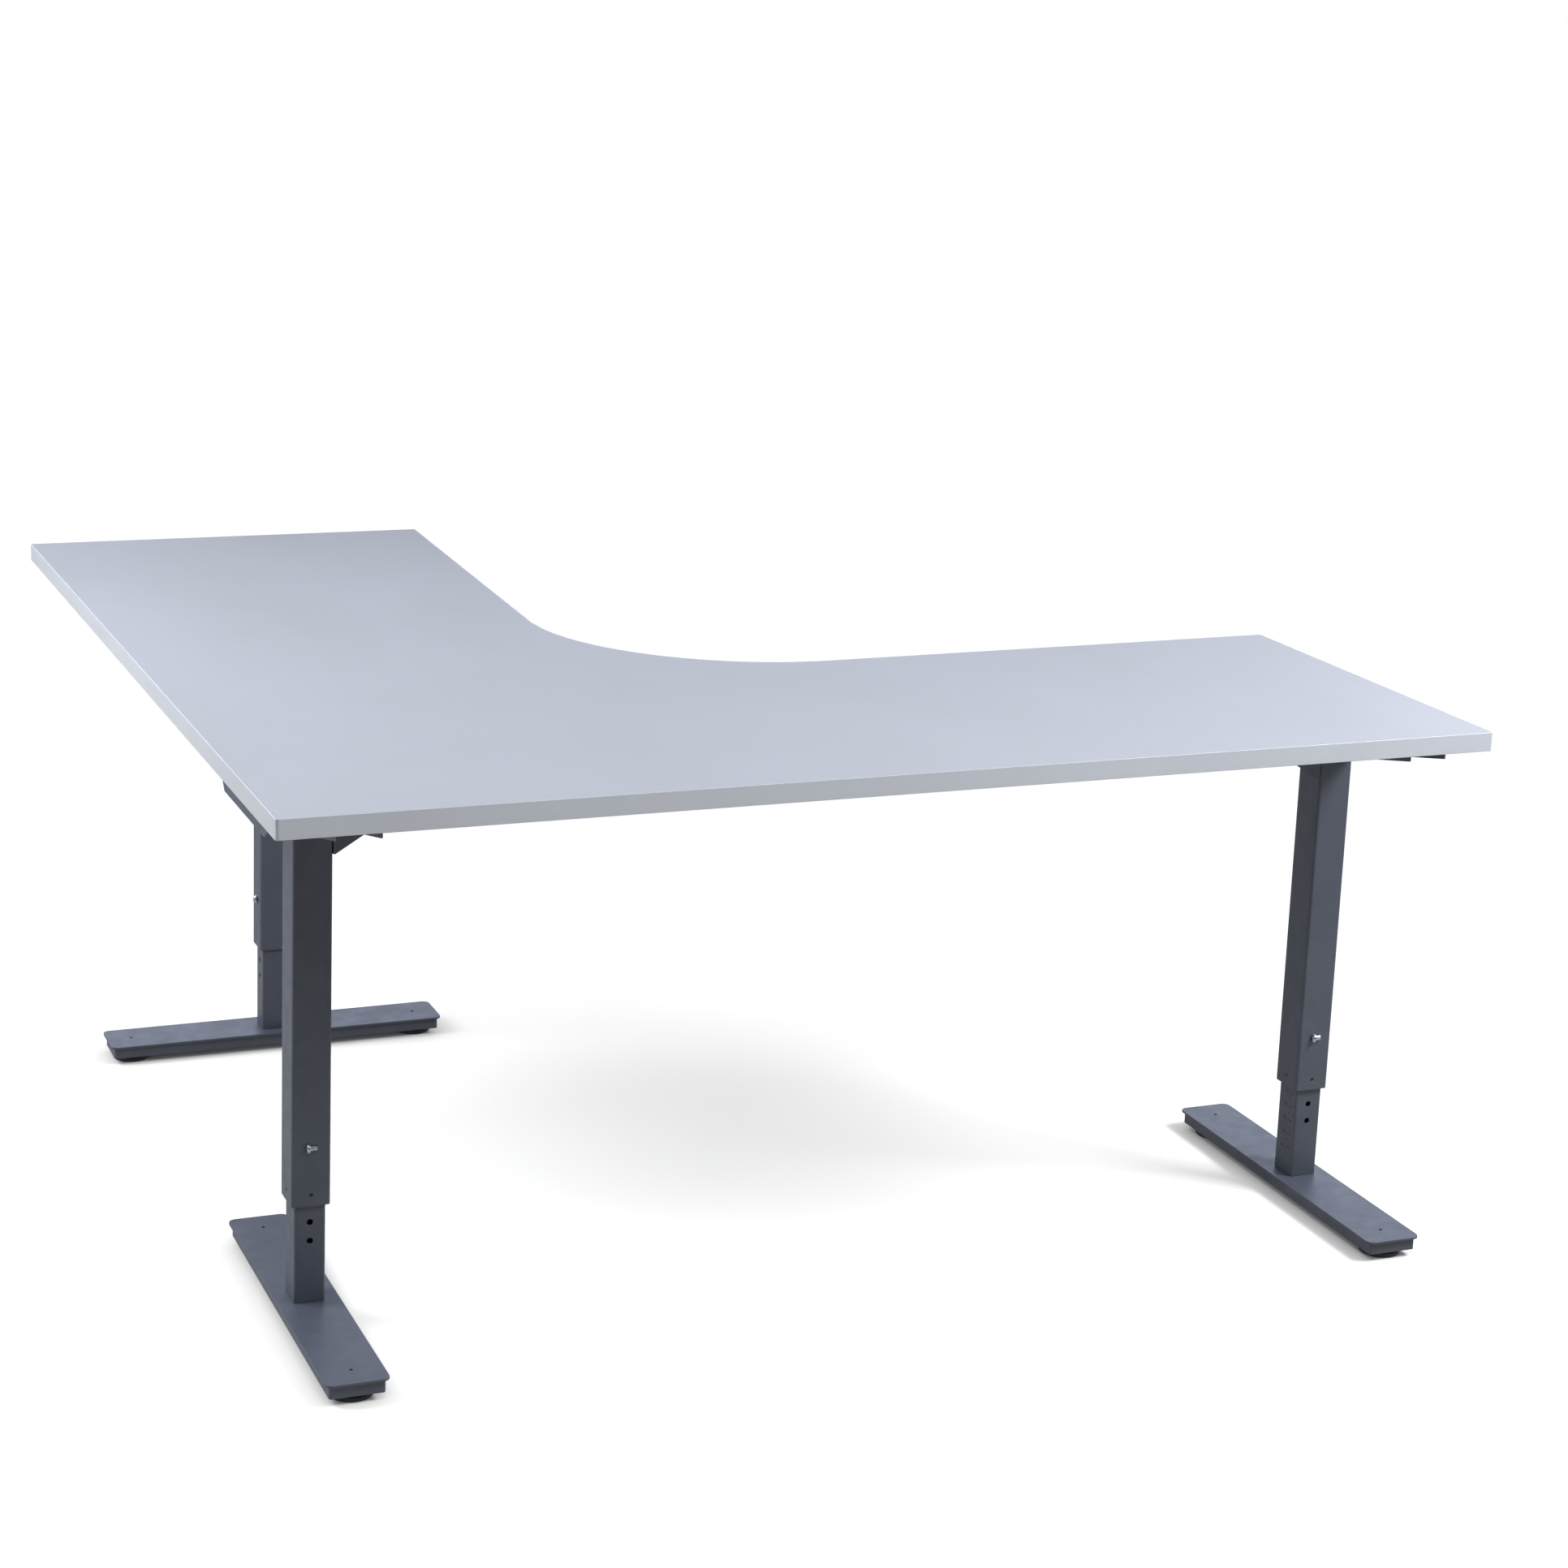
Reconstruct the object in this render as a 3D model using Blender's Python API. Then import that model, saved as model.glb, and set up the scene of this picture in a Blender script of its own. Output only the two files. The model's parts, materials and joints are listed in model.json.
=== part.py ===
"""L-shaped corner desk on three T-legs whose outer tubes slide over bolted inner tubes.

World frame: metres, +Z up, floor at z = 0, origin under the middle of the outline.
+X runs along the main wing, +Y along the return wing; the two straight outer edges meet at
the rear left corner.  Every leg is built once in its own frame (foot along local Y, the face
with the lock bolt at local -Y) and then placed.
"""
import math

import bmesh
import bpy
from mathutils import Matrix, Vector

# ---- overall sizes -------------------------------------------------------------------
MAIN_LENGTH = 1.600  # along X
RETURN_LENGTH = 1.600  # along Y
TOP_HEIGHT = 0.750  # floor to the work surface at rest
BOARD_THICKNESS = 0.025
MAIN_DEPTH_END = 0.585  # depth of the main wing at its free end
MAIN_DEPTH_CORNER = 0.572
RETURN_DEPTH_END = 0.620
RETURN_DEPTH_CORNER = 0.590
CORNER_RADIUS = 0.318  # the concave edge at the sitting place
SEAM_MARGIN = 0.010  # from the end of the concave edge to the seam between the boards
SEAM_GAP = 0.0003
EDGE_RADIUS = 0.004  # upright corners of the boards
BAND_THICKNESS = 0.002
GAP = 0.0003  # between pieces that touch

# ---- legs ------------------------------------------------------------------------------
LEG_FROM_LEFT = 0.118  # all to the leg's centre
LEG_FROM_RIGHT = 0.043
LEG_FROM_REAR = 0.320
RETURN_LEG_FROM_SIDE = 0.318
RETURN_LEG_FROM_END = 0.290
OUTER_W, OUTER_D, OUTER_WALL, OUTER_R = 0.050, 0.055, 0.002, 0.004
TUBE_CLEARANCE = 0.003  # between the two tubes, filled by the guide sleeve
INNER_WALL, INNER_R = 0.002, 0.003
OUTER_BOTTOM = 0.160
INNER_TOP = 0.530
HOLE_PITCH = 0.025
HOLE_COUNT = 9
HOLE_FIRST = 0.112
HOLE_D = 0.008
BOLT_HOLE = 5  # the hole, counted from 0 at the bottom, that holds the bolt at rest
PEG_D = 0.0042
PEG_ABOVE_EDGE = 0.015
GUIDE_LENGTH = 0.040
PLUG_HEIGHT = 0.012
PLUG_SPIGOT = 0.025

# ---- lock bolt -------------------------------------------------------------------------
BOLT_HEAD_D, BOLT_HEAD_H, BOLT_D = 0.014, 0.0045, 0.0076
RECESS_W, RECESS_L, RECESS_DEPTH = 0.0016, 0.0072, 0.0024

# ---- foot ------------------------------------------------------------------------------
FOOT_LENGTH, FOOT_WIDTH, FOOT_R = 0.520, 0.080, 0.010
PLATE_TOP, PLATE_T = 0.030, 0.003
CHANNEL_SET_IN, CHANNEL_BOTTOM, CHANNEL_T = 0.005, 0.0105, 0.002
CHANNEL_NOTCH_R = 0.005
GLIDE_FROM_END = 0.037
GLIDE_CLEARANCE, GLIDE_STEM_D, GLIDE_DISC_H = 0.005, 0.008, 0.009
GLIDE_STEM_TOP = 0.0215
NUT_AF, NUT_H = 0.013, 0.008
PLATE_DOT_D = 0.005

# ---- consoles, beams and brackets --------------------------------------------------------
CONSOLE_T = 0.0025
CONSOLE_HALF = 0.240  # arm from the leg's centre
CONSOLE_TIP = 0.030  # depth at the end of an arm
CONSOLE_DEEP = 0.075  # depth at the leg
CORNER_ARM = 0.425  # the long arm that carries the corner of the top
CORNER_ARM_DEPTH = 0.124  # it is this deep between the next two places
CORNER_ARM_DEEP = (0.110, 0.330)
BEAM_W, BEAM_H, BEAM_WALL = 0.036, 0.060, 0.002
RETURN_BEAM_H = 0.030
RETURN_BEAM_INSIDE = 0.070  # how far the return beam runs into the corner console
GUSSET_T, GUSSET_DROP, GUSSET_LENGTH, GUSSET_FLANGE = 0.0025, 0.111, 0.082, 0.030
JOINER_L, JOINER_W, JOINER_T = 0.140, 0.060, 0.003
JOINER_X = (0.245, 0.470)

# ---- screws into the boards --------------------------------------------------------------
SCREW_D, SCREW_HEAD_D, SCREW_HEAD_H, SCREW_DEPTH = 0.0042, 0.0090, 0.0028, 0.015
SCREW_CLEAR = 0.0003
CONSOLE_SCREW_FROM_TIP = 0.022
JOINER_SCREW = 0.048  # from the seam

# ---- derived -----------------------------------------------------------------------------
LEG_MAIN_LEFT = (LEG_FROM_LEFT, LEG_FROM_REAR)
LEG_MAIN_RIGHT = (MAIN_LENGTH - LEG_FROM_RIGHT, LEG_FROM_REAR)
LEG_RETURN = (RETURN_LEG_FROM_SIDE, RETURN_LENGTH - RETURN_LEG_FROM_END)
INNER_W = OUTER_W - 2 * (OUTER_WALL + TUBE_CLEARANCE)
INNER_D = OUTER_D - 2 * (OUTER_WALL + TUBE_CLEARANCE)
CHANNEL_LENGTH = FOOT_LENGTH - 2 * CHANNEL_SET_IN
CHANNEL_WIDTH = FOOT_WIDTH - 2 * CHANNEL_SET_IN
GLIDE_D = CHANNEL_WIDTH - 2 * (CHANNEL_T + GLIDE_CLEARANCE)
SEAM_Y = MAIN_DEPTH_CORNER + CORNER_RADIUS + SEAM_MARGIN
UNDERSIDE = TOP_HEIGHT - BOARD_THICKNESS
CONSOLE_TOP = UNDERSIDE - GAP
CONSOLE_W = OUTER_W + 2 * (GAP + CONSOLE_T)
BOLT_Z = HOLE_FIRST + BOLT_HOLE * HOLE_PITCH
OUTER_TOP = CONSOLE_TOP - CONSOLE_T - GAP
CENTRE = Vector((MAIN_LENGTH / 2, RETURN_LENGTH / 2, 0))


# ---- shape helpers -----------------------------------------------------------------------
def rounded_rect(width, depth, radius, z, steps=4):
    """One level loop of a rectangle with rounded corners, centred on the origin."""
    loop = []
    for i, (sx, sy) in enumerate(((1, 1), (-1, 1), (-1, -1), (1, -1))):
        for k in range(steps + 1):
            a = math.radians(90 * i + 90 * k / steps)
            x = sx * (width / 2 - radius) + radius * math.cos(a)
            y = sy * (depth / 2 - radius) + radius * math.sin(a)
            loop.append(Vector((x, y, z)))
    return loop


def circle(radius, z, steps):
    return [
        Vector((radius * math.cos(a), radius * math.sin(a), z))
        for a in (2 * math.pi * k / steps for k in range(steps))
    ]


def stack(bm, sections, ring=False):
    """Joins equal loops one after another; the ends are capped, or joined in a ring."""
    loops = [[bm.verts.new(p) for p in section] for section in sections]
    pairs = list(zip(loops, loops[1:]))
    if ring:
        pairs.append((loops[-1], loops[0]))
    else:
        bm.faces.new(loops[0])
        bm.faces.new(loops[-1])
    for low, high in pairs:
        n = len(low)
        for i in range(n):
            j = (i + 1) % n
            bm.faces.new((low[i], low[j], high[j], high[i]))


def prism(bm, outline, start, end, axis="Z"):
    """Extrudes a flat outline from start to end along an axis.

    The outline's pairs are (x, y) for Z, (y, z) for X and (x, z) for Y.
    """
    place = {
        "X": lambda p, t: Vector((t, p[0], p[1])),
        "Y": lambda p, t: Vector((p[0], t, p[1])),
        "Z": lambda p, t: Vector((p[0], p[1], t)),
    }[axis]
    stack(bm, [[place(p, t) for p in outline] for t in (start, end)])


def box(bm, low, high):
    corners = ((low[0], low[1]), (high[0], low[1]), (high[0], high[1]), (low[0], high[1]))
    prism(bm, corners, low[2], high[2])


def rod(bm, centre, axis, length, diameter, steps=16):
    """A cylinder centred on a point."""
    turn = Vector((0, 0, 1)).rotation_difference(Vector(axis)).to_matrix()
    levels = [circle(diameter / 2, t, steps) for t in (-length / 2, length / 2)]
    stack(bm, [[turn @ p + Vector(centre) for p in level] for level in levels])


def lathe(bm, profile, steps, base, axis=(0, 0, 1)):
    """Circles of (radius, height) pairs stacked along an axis from a base point."""
    turn = Vector((0, 0, 1)).rotation_difference(Vector(axis)).to_matrix()
    levels = [circle(radius, height, steps) for radius, height in profile]
    stack(bm, [[turn @ p + Vector(base) for p in level] for level in levels])


def material(name, colour, roughness, metallic=0.0):
    made = bpy.data.materials.new(name)
    made.use_nodes = True
    shader = made.node_tree.nodes["Principled BSDF"]
    shader.inputs["Base Color"].default_value = (*colour, 1)
    shader.inputs["Roughness"].default_value = roughness
    shader.inputs["Metallic"].default_value = metallic
    return made


def to_object(name, bm, finish, place=None, smooth=False):
    """Closes a bmesh into an object placed by a matrix."""
    bmesh.ops.recalc_face_normals(bm, faces=bm.faces)
    mesh = bpy.data.meshes.new(name)
    bm.to_mesh(mesh)
    bm.free()
    if smooth:
        mesh.shade_smooth()
        mesh.set_sharp_from_angle(angle=math.radians(40))
    obj = bpy.data.objects.new(name, mesh)
    bpy.context.scene.collection.objects.link(obj)
    if finish:
        mesh.materials.append(finish)
    if place is not None:
        obj.matrix_world = place
    return obj


def boolean(obj, bm, operation="DIFFERENCE"):
    """Cuts a helper mesh, drawn in the object's own frame, out of the object or adds it."""
    helper = to_object(f"{obj.name}_{operation.lower()}", bm, None, obj.matrix_world.copy())
    helper.hide_render = True
    helper.display_type = "WIRE"
    modifier = obj.modifiers.new(operation.title(), "BOOLEAN")
    modifier.operation = operation
    modifier.solver = "EXACT"
    modifier.object = helper


# ---- the top -----------------------------------------------------------------------------
def outline_path(corners, insets, steps):
    """A closed outline from (x, y, radius) corners; edge i runs from corner i to i + 1.

    Each edge is moved inwards by its own inset.  The corners run anticlockwise.
    """
    n = len(corners)
    points = [Vector(c[:2]) for c in corners]
    lines = []
    for i in range(n):
        along = (points[(i + 1) % n] - points[i]).normalized()
        inward = Vector((-along.y, along.x))
        lines.append((points[i] + inward * insets[i], along))
    path = []
    for i in range(n):
        (p, d), (q, e) = lines[i - 1], lines[i]
        cross = d.x * e.y - d.y * e.x
        t = ((q - p).x * e.y - (q - p).y * e.x) / cross
        corner = p + d * t
        radius = corners[i][2]
        if not radius:
            path.append([corner])
            continue
        radius += -insets[i] if cross > 0 else insets[i]
        reach = radius * abs(math.tan(d.angle(e) / 2))
        inward = Vector((-d.y, d.x)) * (1 if cross > 0 else -1)
        centre = corner - d * reach + inward * radius
        count = steps[i]
        first = -inward * radius
        turn = d.angle(e) * (1 if cross > 0 else -1)
        arc = []
        for k in range(count + 1):
            a = turn * k / count
            x = first.x * math.cos(a) - first.y * math.sin(a)
            y = first.x * math.sin(a) + first.y * math.cos(a)
            arc.append(centre + Vector((x, y)))
        path.append(arc)
    return path


def flat(path):
    return [point for arc in path for point in arc]


def board(name, corners, seam_edge, steps, finish, holes):
    """The board's core, set in from the outline by the edge band on all but the seam."""
    insets = [0.0 if i == seam_edge else BAND_THICKNESS + GAP for i in range(len(corners))]
    bm = bmesh.new()
    prism(bm, flat(outline_path(corners, insets, steps)), UNDERSIDE, TOP_HEIGHT)
    obj = to_object(name, bm, finish, Matrix.Translation(-CENTRE))
    cutter = bmesh.new()
    for x, y in holes:
        rod(cutter, (x, y, UNDERSIDE), (0, 0, 1), 2 * (SCREW_DEPTH + 0.001),
            SCREW_D + 2 * SCREW_CLEAR, 12)
    boolean(obj, cutter)


def edge_band(name, corners, seam_edge, steps, finish):
    """A strip that follows the outline from one end of the seam round to the other."""
    outer = outline_path(corners, [0.0] * len(corners), steps)
    insets = [0.0 if i == seam_edge else BAND_THICKNESS for i in range(len(corners))]
    inner = outline_path(corners, insets, steps)
    start = seam_edge + 1
    order = [(start + k) % len(corners) for k in range(len(corners))]
    out = flat([outer[i] for i in order])
    into = flat([inner[i] for i in order])
    bm = bmesh.new()
    sections = []
    for a, b in zip(out, into):
        sections.append([Vector((a.x, a.y, UNDERSIDE)), Vector((b.x, b.y, UNDERSIDE)),
                         Vector((b.x, b.y, TOP_HEIGHT)), Vector((a.x, a.y, TOP_HEIGHT))])
    stack(bm, sections)
    to_object(name, bm, finish, Matrix.Translation(-CENTRE))


# ---- leg pieces, all in the leg's own frame ------------------------------------------------
def tube(bm, width, depth, wall, radius, low, high):
    inner = max(radius - wall, 0.0008)
    outside = [rounded_rect(width, depth, radius, z) for z in (low, high)]
    inside = [rounded_rect(width - 2 * wall, depth - 2 * wall, inner, z) for z in (high, low)]
    stack(bm, outside + inside, ring=True)


def make_outer_tube(name, place, finish):
    bm = bmesh.new()
    tube(bm, OUTER_W, OUTER_D, OUTER_WALL, OUTER_R, OUTER_BOTTOM, OUTER_TOP)
    obj = to_object(name, bm, finish, place)
    cutter = bmesh.new()
    peg_z = OUTER_BOTTOM + PEG_ABOVE_EDGE
    rod(cutter, (0, -OUTER_D / 2, BOLT_Z), (0, 1, 0), 0.012, BOLT_D + 2 * GAP)
    rod(cutter, (0, -OUTER_D / 2, peg_z), (0, 1, 0), 0.012, PEG_D + 2 * GAP, 12)
    rod(cutter, (-OUTER_W / 2, 0, peg_z), (1, 0, 0), 0.012, PEG_D + 2 * GAP, 12)
    boolean(obj, cutter)


def make_inner_tube(name, place, finish):
    bm = bmesh.new()
    tube(bm, INNER_W, INNER_D, INNER_WALL, INNER_R, PLATE_TOP + GAP, INNER_TOP)
    obj = to_object(name, bm, finish, place)
    cutter = bmesh.new()
    for k in range(HOLE_COUNT):
        z = HOLE_FIRST + k * HOLE_PITCH
        rod(cutter, (0, -INNER_D / 2, z), (0, 1, 0), 0.012, HOLE_D)
    boolean(obj, cutter)


def make_guide(name, place, finish):
    """A sleeve between the tubes with two pegs that show in the outer tube's small holes."""
    bm = bmesh.new()
    width, depth = OUTER_W - 2 * (OUTER_WALL + GAP), OUTER_D - 2 * (OUTER_WALL + GAP)
    wall = (width - INNER_W) / 2 - GAP
    tube(bm, width, depth, wall, 0.0027, OUTER_BOTTOM + 0.001, OUTER_BOTTOM + GUIDE_LENGTH)
    obj = to_object(name, bm, finish, place)
    peg_z = OUTER_BOTTOM + PEG_ABOVE_EDGE
    pegs = bmesh.new()
    reach = OUTER_WALL + GAP + wall / 2 - 0.0006
    rod(pegs, (0, -OUTER_D / 2 + 0.0006 + reach / 2, peg_z), (0, 1, 0), reach, PEG_D, 12)
    rod(pegs, (-OUTER_W / 2 + 0.0006 + reach / 2, 0, peg_z), (1, 0, 0), reach, PEG_D, 12)
    boolean(obj, pegs, "UNION")


def make_plug(name, place, finish):
    """The plastic cap on the inner tube that centres it inside the outer tube."""
    cap_w, cap_d = (size - 2 * (OUTER_WALL + GAP) for size in (OUTER_W, OUTER_D))
    pin_w, pin_d = (size - 2 * (INNER_WALL + GAP) for size in (INNER_W, INNER_D))
    low, mid, high = INNER_TOP - PLUG_SPIGOT, INNER_TOP + GAP, INNER_TOP + PLUG_HEIGHT
    bm = bmesh.new()
    stack(bm, [rounded_rect(pin_w, pin_d, 0.001, low), rounded_rect(pin_w, pin_d, 0.001, mid),
               rounded_rect(cap_w, cap_d, 0.002, mid), rounded_rect(cap_w, cap_d, 0.002, high)])
    to_object(name, bm, finish, place)


def make_lock_bolt(name, place, finish):
    """A domed cross-recess head; the shank stops just short of the inner tube."""
    face = -OUTER_D / 2
    tip = -INNER_D / 2 - GAP
    r = BOLT_HEAD_D / 2
    length = tip - face
    profile = [(BOLT_D / 2 - 0.0005, 0.0), (BOLT_D / 2, 0.0005), (BOLT_D / 2, length + GAP),
               (r, length + GAP), (r, length + GAP + 0.0018),
               (0.80 * r, length + GAP + 0.0036), (0.35 * r, length + GAP + BOLT_HEAD_H)]
    bm = bmesh.new()
    lathe(bm, profile, 24, (0, tip, BOLT_Z), (0, -1, 0))
    obj = to_object(name, bm, finish, place, smooth=True)
    cutter = bmesh.new()
    outside = face - GAP - BOLT_HEAD_H
    arm, half = RECESS_L / 2, RECESS_W / 2
    cross = [(arm, -half), (arm, half), (half, half), (half, arm), (-half, arm), (-half, half),
             (-arm, half), (-arm, -half), (-half, -half), (-half, -arm), (half, -arm),
             (half, -half)]
    prism(cutter, [(x, BOLT_Z + z) for x, z in cross], outside - 0.002,
          outside + RECESS_DEPTH, "Y")
    boolean(obj, cutter)


def make_foot_plate(name, place, finish):
    bm = bmesh.new()
    low, high = PLATE_TOP - PLATE_T, PLATE_TOP
    stack(bm, [rounded_rect(FOOT_WIDTH, FOOT_LENGTH, FOOT_R, z) for z in (low, high)])
    obj = to_object(name, bm, finish, place)
    cutter = bmesh.new()
    for side in (-1, 1):
        y = side * (FOOT_LENGTH / 2 - GLIDE_FROM_END)
        rod(cutter, (0, y, high), (0, 0, 1), 0.004, PLATE_DOT_D, 12)
    boolean(obj, cutter)


def make_foot_channel(name, place, finish):
    """An open-bottomed channel under the plate with closed ends, each notched at its top edge."""
    top = PLATE_TOP - PLATE_T - GAP
    w, length = CHANNEL_WIDTH, CHANNEL_LENGTH
    bm = bmesh.new()
    stack(bm, [rounded_rect(w, length, 0.004, z) for z in (CHANNEL_BOTTOM, top)])
    obj = to_object(name, bm, finish, place)
    cutter = bmesh.new()
    t = CHANNEL_T
    stack(cutter, [rounded_rect(w - 2 * t, length - 2 * t, 0.002, z)
                   for z in (CHANNEL_BOTTOM - 0.01, top - t)])
    boolean(obj, cutter)
    notch = bmesh.new()
    for side in (-1, 1):
        rod(notch, (0, side * length / 2, top + 0.0005), (0, 1, 0), 0.012,
            CHANNEL_NOTCH_R, 16)
    boolean(obj, notch)


def make_glide(name, place, finish):
    """A levelling foot, its origin on the floor under the stem."""
    r, stem = GLIDE_D / 2, GLIDE_STEM_D / 2
    profile = [(r - 0.0015, 0.0), (r, 0.0015), (r, 0.0065), (r - 0.003, GLIDE_DISC_H),
               (stem, GLIDE_DISC_H), (stem, GLIDE_STEM_TOP - 0.0008),
               (stem - 0.0008, GLIDE_STEM_TOP)]
    bm = bmesh.new()
    lathe(bm, profile, 32, (0, 0, 0))
    to_object(name, bm, finish, place, smooth=True)


def make_glide_nut(name, place, finish):
    top = PLATE_TOP - PLATE_T - 2 * GAP - CHANNEL_T
    hexagon, bore = [], []
    for k in range(24):
        a = 2 * math.pi * k / 24
        apothem = NUT_AF / 2
        off = (a + math.pi / 6) % (math.pi / 3) - math.pi / 6
        hexagon.append((apothem / math.cos(off), a))
        bore.append((GLIDE_STEM_D / 2 + GAP, a))
    rings = [[Vector((r * math.cos(a), r * math.sin(a), z)) for r, a in loop]
             for loop, z in ((hexagon, top - NUT_H), (hexagon, top), (bore, top),
                             (bore, top - NUT_H))]
    bm = bmesh.new()
    stack(bm, rings, ring=True)
    to_object(name, bm, finish, place)


def console_profile(front, corner):
    """The side view of a console as (y, z) pairs; a corner one is deepest in its long arm."""
    near = OUTER_D / 2 + 0.010
    bottom = CONSOLE_TOP - CONSOLE_DEEP
    tip = CONSOLE_TOP - CONSOLE_TIP
    points = [(-CONSOLE_HALF, CONSOLE_TOP), (-CONSOLE_HALF, tip), (-near, bottom),
              (near, bottom)]
    if corner:
        points += [(y, CONSOLE_TOP - CORNER_ARM_DEPTH) for y in CORNER_ARM_DEEP]
    return points + [(front, tip), (front, CONSOLE_TOP)]


def make_console(name, place, finish, front, corner, screws):
    """A folded channel over the leg, open below and at its tips."""
    profile = console_profile(front, corner)
    bm = bmesh.new()
    prism(bm, profile, -CONSOLE_W / 2, CONSOLE_W / 2, "X")
    obj = to_object(name, bm, finish, place)
    inside = bmesh.new()
    half = CONSOLE_W / 2 - CONSOLE_T
    prism(inside, [(-CONSOLE_HALF - 0.01, 0.3), (front + 0.01, 0.3),
                   (front + 0.01, CONSOLE_TOP - CONSOLE_T),
                   (-CONSOLE_HALF - 0.01, CONSOLE_TOP - CONSOLE_T)], -half, half, "X")
    boolean(obj, inside)
    holes = bmesh.new()
    for y in screws:
        rod(holes, (0, y, CONSOLE_TOP), (0, 0, 1), 0.012, SCREW_D + 2 * SCREW_CLEAR, 12)
    boolean(obj, holes)


def make_screw(name, place, finish, seat):
    """A pan-head screw driven up into a board; seat is the height its head bears on."""
    r, shank = SCREW_HEAD_D / 2, SCREW_D / 2
    base = seat - GAP - SCREW_HEAD_H
    top = UNDERSIDE + SCREW_DEPTH - base
    profile = [(0.45 * r, 0.0), (0.85 * r, 0.0008), (r, SCREW_HEAD_H - 0.001),
               (r, SCREW_HEAD_H), (shank, SCREW_HEAD_H), (shank, top - 0.003), (0.0006, top)]
    bm = bmesh.new()
    lathe(bm, profile, 12, (0, 0, base))
    to_object(name, bm, finish, place, smooth=True)


# ---- beams and brackets, in the desk's frame -----------------------------------------------
def beam(name, start, end, height, finish):
    """A rectangular tube between two points on its centre line."""
    a, b = Vector(start), Vector(end)
    along = (b - a).to_track_quat("Z", "Y").to_matrix().to_4x4()
    bm = bmesh.new()
    tube(bm, BEAM_W, height, BEAM_WALL, 0.003, 0.0, (b - a).length)
    to_object(name, bm, finish, Matrix.Translation(a - CENTRE) @ along)


def gusset(name, leg_x, side, y_back, finish):
    """A folded angle behind the beam; its flange lies on the leg just below the console."""
    on_leg = leg_x + side * (OUTER_W / 2 + GAP)
    flange_out = on_leg + side * GUSSET_T
    on_console = leg_x + side * (CONSOLE_W / 2 + GAP)
    far = on_console + side * GUSSET_LENGTH
    low, beam_low = UNDERSIDE - GUSSET_DROP, CONSOLE_TOP - BEAM_H
    flange_top, high = CONSOLE_TOP - CONSOLE_DEEP - GAP, CONSOLE_TOP - 0.004
    bm = bmesh.new()
    web = [(on_leg, low), (flange_out, low), (far, beam_low), (far, high), (on_console, high),
           (on_console, flange_top), (on_leg, flange_top)]
    prism(bm, web, y_back - GUSSET_T, y_back, "Y")
    obj = to_object(name, bm, finish, Matrix.Translation(-CENTRE))
    flange = bmesh.new()
    box(flange, (min(on_leg, flange_out), y_back - GUSSET_T, low),
        (max(on_leg, flange_out), y_back + GUSSET_FLANGE, flange_top))
    boolean(obj, flange, "UNION")


def joiner(name, x, finish):
    top = UNDERSIDE - GAP
    bm = bmesh.new()
    stack(bm, [rounded_rect(JOINER_W, JOINER_L, 0.006, z) for z in (top - JOINER_T, top)])
    obj = to_object(name, bm, finish, Matrix.Translation(Vector((x, SEAM_Y, 0)) - CENTRE))
    holes = bmesh.new()
    for side in (-1, 1):
        rod(holes, (0, side * JOINER_SCREW, top), (0, 0, 1), 0.012,
            SCREW_D + 2 * SCREW_CLEAR, 12)
    boolean(obj, holes)


# ---- assembly ------------------------------------------------------------------------------
def build_leg(tag, spot, turned, front, corner, finishes):
    """Makes one leg; returns where its console screws enter the boards, in desk axes."""
    coat, coat_inner, black, zinc = finishes
    turn = Matrix.Rotation(math.radians(-90), 4, "Z") if turned else Matrix.Identity(4)
    at = Matrix.Translation(Vector((*spot, 0)) - CENTRE) @ turn
    make_outer_tube(f"outer_tube_{tag}", at, coat)
    make_guide(f"guide_sleeve_{tag}", at, black)
    make_inner_tube(f"inner_tube_{tag}", at, coat_inner)
    make_plug(f"inner_plug_{tag}", at, black)
    make_lock_bolt(f"lock_bolt_{tag}", at, zinc)
    make_foot_plate(f"foot_plate_{tag}", at, coat)
    make_foot_channel(f"foot_channel_{tag}", at, coat)
    for end, side in (("rear", -1), ("front", 1)):
        y = side * (FOOT_LENGTH / 2 - GLIDE_FROM_END)
        spot_at = at @ Matrix.Translation((0, y, 0))
        make_glide(f"glide_{tag}_{end}", spot_at, black)
        make_glide_nut(f"glide_nut_{tag}_{end}", spot_at, zinc)
    beam_room = RETURN_BEAM_INSIDE if corner else 0.0
    screws = (-CONSOLE_HALF + CONSOLE_SCREW_FROM_TIP,
              front - beam_room - CONSOLE_SCREW_FROM_TIP)
    make_console(f"console_{tag}", at, coat, front, corner, screws)
    entries = []
    for end, y in zip(("rear", "front"), screws):
        spot_at = at @ Matrix.Translation((0, y, 0))
        make_screw(f"console_screw_{tag}_{end}", spot_at, zinc, CONSOLE_TOP - CONSOLE_T)
        entries.append((spot_at.translation + CENTRE).xy)
    return entries


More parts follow.
